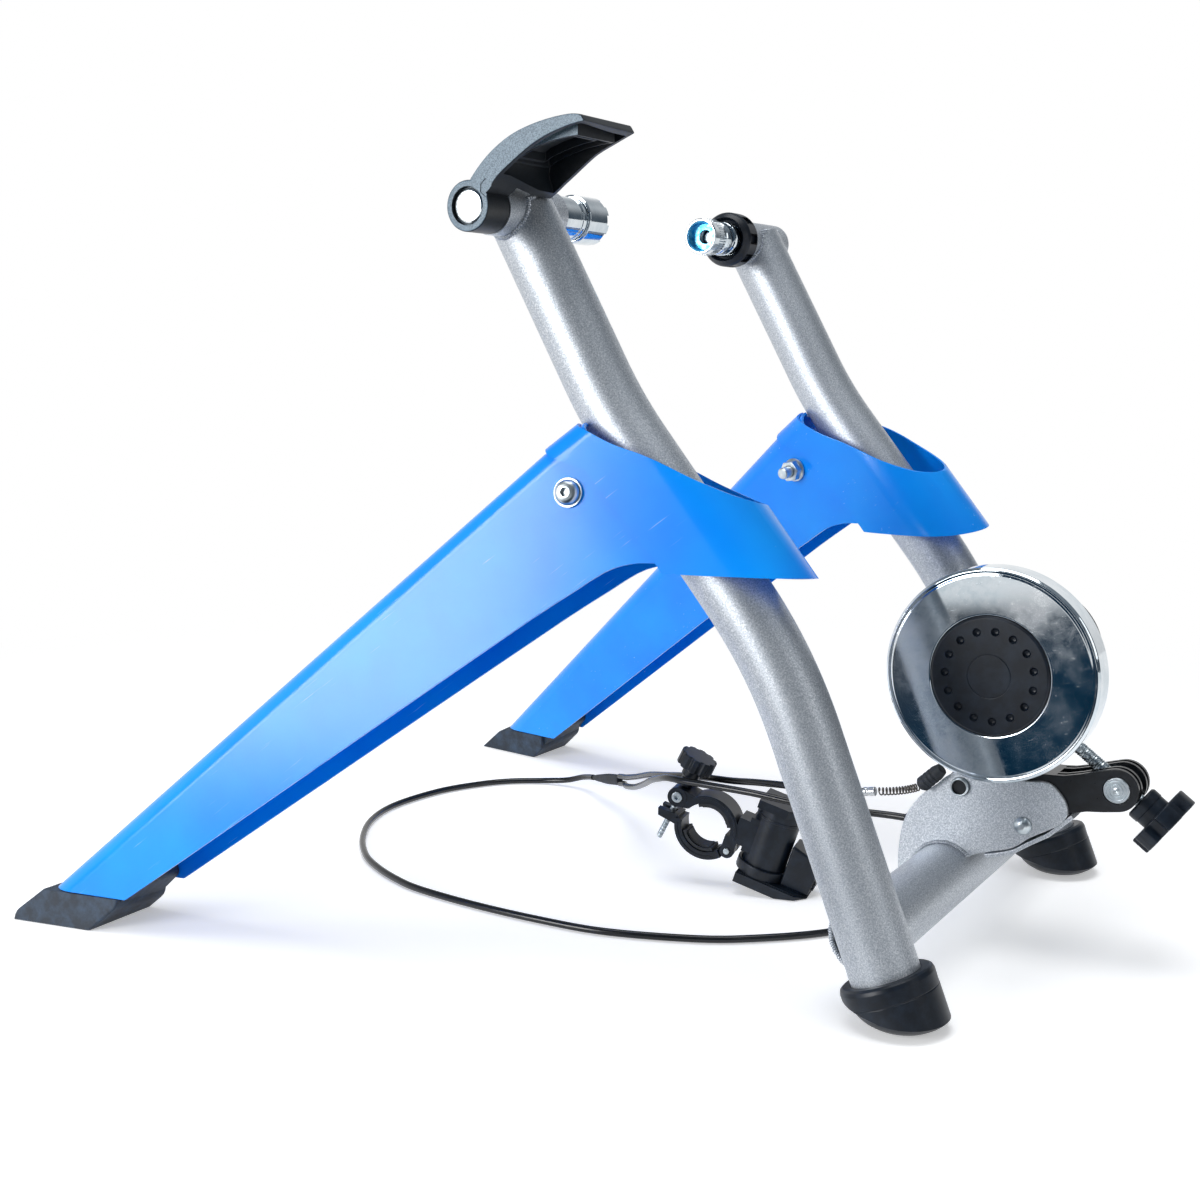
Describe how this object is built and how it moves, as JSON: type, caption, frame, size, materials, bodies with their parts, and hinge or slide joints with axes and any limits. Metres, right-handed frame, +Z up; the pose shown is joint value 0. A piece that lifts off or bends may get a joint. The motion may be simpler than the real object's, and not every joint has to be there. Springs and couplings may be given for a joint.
{
  "type": "bike trainer",
  "caption": "Folding stand that clamps a bicycle's rear axle between bent tubes and presses a magnetic roller brake on the tyre, with a handlebar shifter on a cable.",
  "frame": {"origin": "on the floor, under the middle of the trainer's length and width, measured without the cable", "axes": "+X towards the flywheel and the rear caps, -X towards the front feet, +Y to the rider's right, +Z up"},
  "size_m": [0.6456, 0.5624, 0.4667],
  "materials": {
    "silver_powder_coat": "silver powder coat with a fine sparkle, satin",
    "blue_enamel": "bright blue gloss enamel",
    "chrome": "mirror chrome",
    "zinc": "bright zinc plate",
    "black_plastic": "black moulded plastic, satin",
    "black_paint": "black paint on steel, satin",
    "black_rubber": "matt black rubber",
    "grey_plastic": "dark grey textured plastic",
    "aluminium": "machined aluminium"
  },
  "bodies": {
    "frame": {"left_side_tube": "silver_powder_coat", "right_side_tube": "silver_powder_coat", "cross_tube": "silver_powder_coat", "left_rear_cap": "black_plastic", "right_rear_cap": "black_plastic", "left_axle_housing": "silver_powder_coat", "right_axle_housing": "silver_powder_coat", "left_fold_bolt": "zinc", "right_fold_bolt": "zinc", "left_fold_washer": "zinc", "right_fold_washer": "zinc", "left_fold_nut": "zinc", "right_fold_nut": "zinc", "brake_bracket": "silver_powder_coat", "pivot_pin": "zinc", "bracket_screw": "zinc", "screw_arm": "black_paint", "shifter_body": "black_plastic", "upper_pad": "black_rubber", "jaw_hinge_pin": "zinc", "swing_pin": "zinc", "cable_upper": "black_plastic", "cable_lower": "black_plastic", "cable_main": "black_plastic", "cable_splitter": "black_rubber", "cable_ferrule": "aluminium", "boot_spring": "zinc", "upper_boot": "black_rubber", "lower_boot": "black_rubber"},
    "left_leg": {"left_leg_channel": "blue_enamel", "left_collar": "blue_enamel", "left_front_foot": "black_rubber"},
    "right_leg": {"right_leg_channel": "blue_enamel", "right_collar": "blue_enamel", "right_front_foot": "black_rubber"},
    "lever": {"clamp_lever": "grey_plastic", "lever_shaft": "chrome"},
    "cup": {"clamp_piston": "chrome", "axle_cup": "chrome"},
    "core": {"cone_core": "zinc"},
    "sleeve": {"cone_sleeve": "chrome"},
    "ring": {"lock_ring": "black_plastic"},
    "unit": {"unit_frame": "black_paint", "left_bearing": "zinc", "right_bearing": "zinc", "magnet_housing": "black_plastic"},
    "rotor": {"roller": "aluminium", "flywheel": "chrome", "flywheel_cap": "black_plastic", "brake_disc": "aluminium"},
    "carrier": {"magnet_carrier": "zinc"},
    "dowel": {"cross_dowel": "zinc"},
    "tip": {"rod_tip": "zinc"},
    "knob": {"threaded_rod": "zinc", "tension_knob": "black_plastic"},
    "paddle": {"shifter_paddle": "black_plastic"},
    "jaw": {"lower_jaw": "black_plastic", "lower_pad": "black_rubber"},
    "thumb": {"thumb_screw": "zinc", "thumb_knob": "black_plastic"}
  },
  "joints": [
    {"name": "left_leg_fold", "type": "hinge", "parent": "frame", "child": "left_leg", "pos_m": [0.02487, -0.15748, 0.26921], "axis": [0.172, -0.9754, 0.1378], "range_deg": [0, 74]},
    {"name": "right_leg_fold", "type": "hinge", "parent": "frame", "child": "right_leg", "pos_m": [0.02487, 0.15748, 0.26921], "axis": [-0.172, -0.9754, -0.1378], "range_deg": [0, 74]},
    {"name": "lever_turn", "type": "hinge", "parent": "frame", "child": "lever", "pos_m": [-0.02366, -0.17, 0.424], "axis": [0, -1, 0], "range_deg": [0, 150]},
    {"name": "cup_slide", "type": "slide", "parent": "frame", "child": "cup", "axis": [0, -1, 0], "range_m": [0, 0.015]},
    {"name": "cone_turn", "type": "hinge", "parent": "core", "child": "sleeve", "pos_m": [-0.02366, 0.11, 0.424], "axis": [0, -1, 0], "range_deg": [0, 2880]},
    {"name": "core_slide", "type": "slide", "parent": "frame", "child": "core", "axis": [0, -1, 0], "range_m": [0, 0.012]},
    {"name": "lock_ring_turn", "type": "hinge", "parent": "frame", "child": "ring", "pos_m": [-0.02366, 0.111, 0.424], "axis": [0, -1, 0], "range_deg": [0, 90]},
    {"name": "unit_swing", "type": "hinge", "parent": "frame", "child": "unit", "pos_m": [0.19364, 0.006, 0.0934], "axis": [0, -1, 0], "range_deg": [-9, 0]},
    {"name": "flywheel_spin", "type": "hinge", "parent": "unit", "child": "rotor", "pos_m": [0.21936, 0, 0.16852], "axis": [0, 1, 0], "continuous": true},
    {"name": "carrier_turn", "type": "hinge", "parent": "unit", "child": "carrier", "pos_m": [0.21936, 0.032, 0.16852], "axis": [0, 1, 0], "range_deg": [0, 25]},
    {"name": "dowel_swing", "type": "hinge", "parent": "frame", "child": "dowel", "pos_m": [0.28294, 0.006, 0.1027], "axis": [0, -1, 0], "range_deg": [0, 4]},
    {"name": "rod_slide", "type": "slide", "parent": "dowel", "child": "tip", "axis": [-0.8, 0, 0.6], "range_m": [-0.0098, 0]},
    {"name": "knob_turn", "type": "hinge", "parent": "tip", "child": "knob", "pos_m": [0.28294, 0.006, 0.1027], "axis": [-0.8, 0, 0.6], "range_deg": [-2790, 0]},
    {"name": "paddle_turn", "type": "hinge", "parent": "frame", "child": "paddle", "pos_m": [0.05981, 0.0106, 0.02702], "axis": [-0.3023, -0.0642, -0.9511], "range_deg": [0, 50]},
    {"name": "jaw_swing", "type": "hinge", "parent": "frame", "child": "jaw", "pos_m": [0.03452, 0.00523, 0.02575], "axis": [0.2079, -0.9781, 0], "range_deg": [0, 45]},
    {"name": "thumb_turn", "type": "hinge", "parent": "frame", "child": "thumb", "pos_m": [0.00158, -0.00177, 0.05898], "axis": [0.4269, 0.0907, 0.8997], "continuous": true}
  ],
  "couplings": [
    {"joint": "cup_slide", "follows": "lever_turn", "m_per_rad": 0.005729},
    {"joint": "cone_turn", "follows": "core_slide", "rad_per_m": 4188.7},
    {"joint": "dowel_swing", "follows": "unit_swing", "ratio": -0.433},
    {"joint": "rod_slide", "follows": "unit_swing", "m_per_rad": 0.0616},
    {"joint": "knob_turn", "follows": "unit_swing", "ratio": 309.7},
    {"joint": "carrier_turn", "follows": "paddle_turn", "ratio": 0.5}
  ]
}
